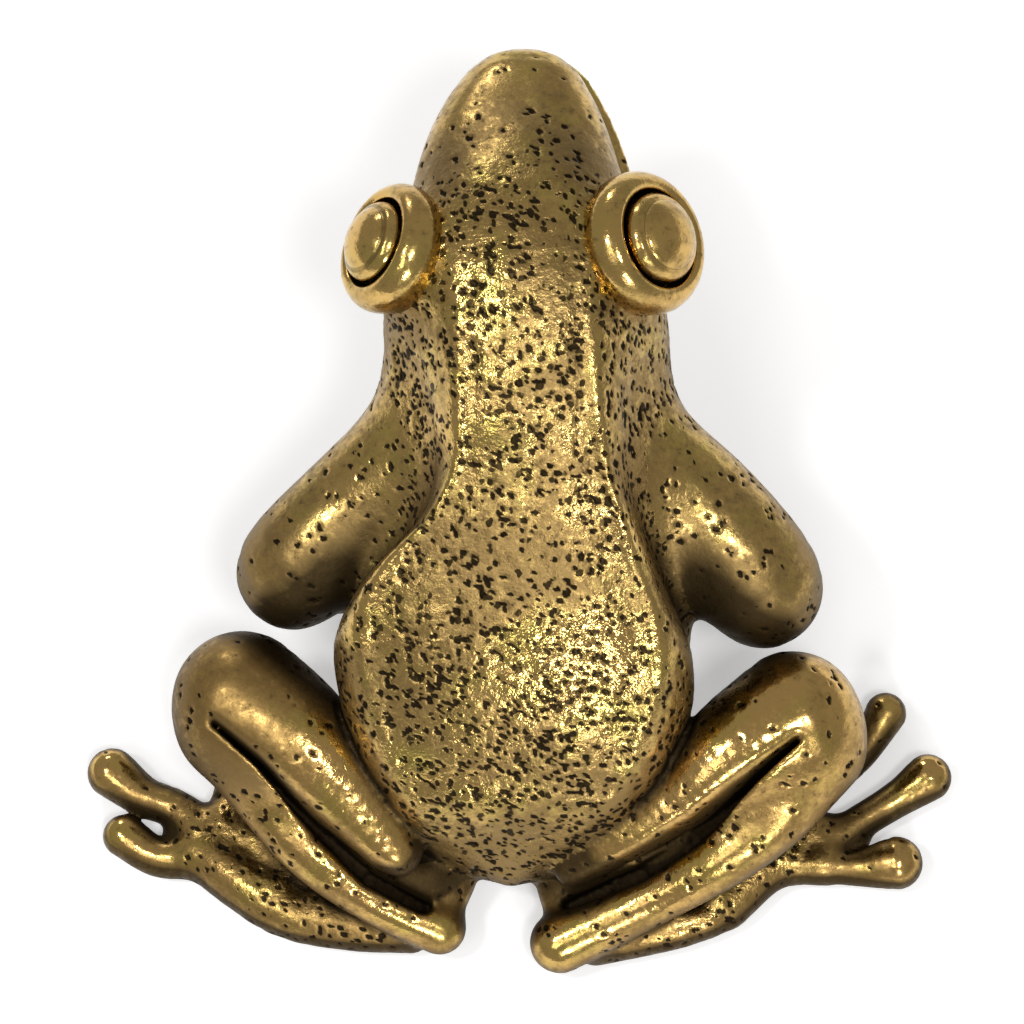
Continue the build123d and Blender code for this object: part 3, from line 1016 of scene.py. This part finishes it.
seamSpec = {
    "depth": 0.3,  # mm, how far a piece's edge is turned in before it is closed
    "rounds": 30,  # most rounds of separating patches
}


def openEdges(faces, total):
    # directed edges of a patch that have no partner
    start = faces.reshape(-1)
    end = np.roll(faces, -1, 1).reshape(-1)
    lonely = ~np.isin(start * total + end, end * total + start)
    return start[lonely], end[lonely]


def separated(owner, total):
    # no patch may touch itself at a single point
    for turn in range(seamSpec["rounds"]):
        crowdedPatches = 0
        for i in range(len(nodeNames)):
            start, end = openEdges(quads[owner == i], total)
            crowded = np.flatnonzero(np.bincount(start, minlength=total) > 1)
            if len(crowded):
                owner[np.isin(quads, crowded).any(1)] = i
                crowdedPatches += 1
        if not crowdedPatches:
            return owner
    raise RuntimeError("the patches of the skin couldn't be separated")


def closePatch(faces, total):
    # points and faces that close the open edges of a patch
    following = dict(zip(*(ends.tolist() for ends in openEdges(faces, total))))
    added, closing = [], []
    while following:
        loop = [next(iter(following))]
        after = following.pop(loop[0])
        while after != loop[0]:
            loop.append(after)
            after = following.pop(after)
        base, size = total + len(added), len(loop)
        inner = skinPoints[loop] - skinNormals[loop] * seamSpec["depth"]
        added += [*inner.tolist(), inner.mean(0).tolist()]
        for i in range(size):
            j = (i + 1) % size
            closing += [[loop[j], loop[i], base + i, base + j], [base + j, base + i, base + size]]
    return added, closing


def dividedSkin():
    total = len(skinPoints)
    shares = separated(owner, total)
    found = {}
    for i, name in enumerate(nodeNames):
        faces = quads[shares == i]
        added, closing = closePatch(faces, total)
        points = np.vstack([skinPoints, np.array(added).reshape(-1, 3)])
        normals = np.vstack([skinNormals, np.tile([0.0, 0.0, 1.0], (len(added), 1))])
        used = np.unique(np.concatenate([faces.reshape(-1), *closing]).astype(np.int64))
        place = np.zeros(len(points), dtype=np.int64)
        place[used] = np.arange(len(used))
        polygons = place[faces].tolist() + [place[face].tolist() for face in closing]
        values = {key: np.concatenate([v, np.zeros(len(added))])[used] for key, v in skinValues.items()}
        piece = meshOf(name + "_cast", points[used], polygons, values)
        piece.data.normals_split_custom_set_from_vertices(normals[used].tolist())
        piece.data.materials.append(brasses[slotOf[name]])
        found[name] = piece
    return found


pieces = dividedSkin()
print("skin divided into", len(pieces), "pieces")

turnedSpec = {
    "around": 128,
    "floor": -0.6,  # mm from the middle of the eye along the line of sight
    "ring": [  # mm: radius, height
        (1.5, -2.2), (1.95, -1.7), (2.28, -1.1), (2.45, -0.45), (2.4, -0.02),
        (2.2, 0.32), (1.95, 0.48), (1.74, 0.42), (1.66, 0.2),
    ],
    "disc": [(1.54, -0.1), (1.54, 0.3), (1.5, 0.55), (1.38, 0.75), (1.24, 0.84)],
    "dome": [(1.2, 0.86), (1.1, 0.97), (0.85, 1.14), (0.45, 1.28), (0.05, 1.32)],
    "domeTip": 0.001,  # mm, the tip above the dome's last ring
    "cup": (1.6, 0.1),  # mm: radius of its floor, height of the bevel round it
    "capRing": 0.8,  # mm, radius of a ring of points on each flat face
    "groove": (1.53, 1.73, -1.0, 0.38, 1.0),  # black groove in mm: radii, heights; darkness
    "stepLine": (1.14, 1.3, -1.0, 0.95, 0.25),  # the same for the line round the pupil
    "wear": {"pit": 0, "pitShare": 0.25, "sunk": -0.25, "sunkWide": -0.3, "patinaAndShade": 0.1},
}


def smoothProfile(points, steps=8):
    # smooth curve through the points of a profile
    p = np.array(points, float)
    padded = np.vstack([2 * p[0] - p[1], p, 2 * p[-1] - p[-2]])
    t = np.linspace(0, 1, steps, endpoint=False)[:, None]
    curve = []
    for a, b, c, d in zip(padded, padded[1:], padded[2:], padded[3:]):
        square, cube = 2 * a - 5 * b + 4 * c - d, 3 * b - a - 3 * c + d
        curve.append(0.5 * (2 * b + (c - a) * t + square * t * t + cube * t ** 3))
    return np.vstack([*curve, p[-1:]])


def turnedPiece(node, profile, side):
    # closed piece turned about the line of sight, its profile running from the back to the front
    middle, looks = eyeFrame(side)
    sideways = Vector((0, 1, 0)).cross(looks).normalized()
    upward = looks.cross(sideways)
    around = turnedSpec["around"]
    angle = np.linspace(0, 2 * math.pi, around, endpoint=False)
    radial = np.cos(angle)[:, None] * np.array(sideways) + np.sin(angle)[:, None] * np.array(upward)
    origin, axis = np.array(middle), np.array(looks)
    profile = profile * eyeSpec["scale"][side]
    points = [origin + radial * r + axis * h for r, h in profile[1:-1]]
    points = np.vstack([*points, origin + axis * profile[0][1], origin + axis * profile[-1][1]])
    quads, triangles = tubeFaces(len(profile) - 2, around)
    height = (points - origin) @ axis
    radius = np.linalg.norm(points - origin - height[:, None] * axis, axis=1)
    values = {key: np.full(len(points), float(value)) for key, value in turnedSpec["wear"].items()}
    for inner, outer, low, high, darkness in (turnedSpec["groove"], turnedSpec["stepLine"]):
        marked = (radius > inner) & (radius < outer) & (height > low) & (height < high)
        values["pit"] = np.maximum(values["pit"], darkness * marked)
    faces = quads.tolist() + triangles.tolist()
    piece = meshOf(node + "_cast", points, faces, values)
    piece.data.materials.append(brasses[slotOf[node]])
    pieces[node] = piece


def makeEyes():
    spec = turnedSpec
    floor, cap = spec["floor"], spec["capRing"]
    wall, disc, dome = (smoothProfile(spec[key]) for key in ("ring", "disc", "dome"))
    floorRadius, bevel = spec["cup"]
    cup = [(wall[-1][0], floor + bevel), (floorRadius, floor), (cap, floor), (0, floor)]
    ring = np.vstack([[(0, wall[0][1]), (cap, wall[0][1])], wall, cup])
    base = [(0, floor), (cap, floor), (disc[0][0], floor)]
    bead = np.vstack([base, disc, dome, [(0, dome[-1][1] + spec["domeTip"])]])
    for side in sides:
        turnedPiece(side + "_eye_ring", ring, side)
        turnedPiece(side + "_eye_bead", bead, side)


makeEyes()
print("eyes turned")

for node, piece in pieces.items():
    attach(piece, "root")
    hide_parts(node)

stageSpec = {
    "floorSize": 1400.0,  # mm
    "floorHeight": -0.05,  # mm
    "floorLook": {
        "Base Color": (0.92, 0.92, 0.92, 1), "Roughness": 0.9, "Specular IOR Level": 0.1,
        "Emission Color": (1, 1, 1, 1), "Emission Strength": 0.38,
    },
    "worldColour": (1.0, 0.98, 0.95),
    "worldPower": 0.36,
    "lampDistance": 400,  # mm
    "exposure": 0.0,
}
lampSpec = {  # way to the lamp, its size in mm, its brightness; every lamp faces the frog
    "overheadSoftbox": ((0.36, 0.15, 0.92), (50, 50), 34.0),
    "rearSoftbox": ((-0.2, 0.84, 0.5), (90, 80), 16.0),
    "leftSoftbox": ((0.28, 0.46, 0.84), (110, 110), 3.0),
    "rightSoftbox": ((-0.22, 0.38, 0.9), (55, 55), 36.0),
    "frontSoftbox": ((0.3, -0.85, 0.4), (80, 60), 10.0),
}


def makeFloor():
    half, height = stageSpec["floorSize"] / 2, stageSpec["floorHeight"]
    edges = [(-half, -half, height), (half, -half, height), (half, half, height), (-half, half, height)]
    floor = meshOf("floor", edges, [[0, 1, 2, 3]])
    paper = bpy.data.materials.new("palePaper")
    paper.use_nodes = True
    shader = paper.node_tree.nodes["Principled BSDF"]
    for key, value in stageSpec["floorLook"].items():
        shader.inputs[key].default_value = value
    floor.data.materials.append(paper)


def makeLights():
    world = bpy.data.worlds.new("studio")
    world.use_nodes = True
    sky = world.node_tree.nodes["Background"]
    sky.inputs["Color"].default_value = (*stageSpec["worldColour"], 1)
    sky.inputs["Strength"].default_value = stageSpec["worldPower"]
    bpy.context.scene.world = world
    for name, (towards, size, brightness) in lampSpec.items():
        data = bpy.data.lights.new(name, "AREA")
        data.shape = "RECTANGLE"
        data.size, data.size_y = (length * mm for length in size)
        data.energy = brightness * math.pi * data.size * data.size_y
        lamp = bpy.data.objects.new(name, data)
        bpy.context.scene.collection.objects.link(lamp)
        towards = Vector(towards).normalized()
        lamp.location = towards * stageSpec["lampDistance"] * mm
        lamp.rotation_euler = towards.to_track_quat("Z", "Y").to_euler()
    view = bpy.context.scene.view_settings
    view.view_transform = "Standard"
    view.exposure = stageSpec["exposure"]


makeFloor()
makeLights()
print("stage set")
